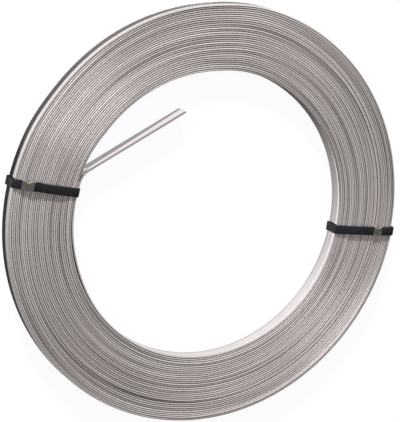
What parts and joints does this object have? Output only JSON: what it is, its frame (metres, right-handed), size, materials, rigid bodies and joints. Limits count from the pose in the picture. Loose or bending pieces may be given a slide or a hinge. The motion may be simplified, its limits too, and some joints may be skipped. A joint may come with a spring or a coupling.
{
  "type": "steel strip coil",
  "caption": "Flat coil of steel strip wound on edge, with an open bore, a free inner end and dark straps closed by crimped metal seals.",
  "frame": {"origin": "centre of the bore on the floor that the straps rest on", "axes": "+Z along the coil's axis, up; +X towards the right strap; +Y towards the top of the reference view"},
  "size_m": [0.7795, 0.7796, 0.04],
  "materials": {
    "strip_steel": "cold rolled, satin, with rounded edges",
    "strap_plastic": "embossed dark plastic strapping",
    "seal_metal": "dull zinc-coated sheet, crimped"
  },
  "bodies": {
    "root": {"strip_coil": "strip_steel", "strap_left": "strap_plastic", "strap_right": "strap_plastic", "seal_left": "seal_metal", "seal_right": "seal_metal"}
  },
  "joints": []
}
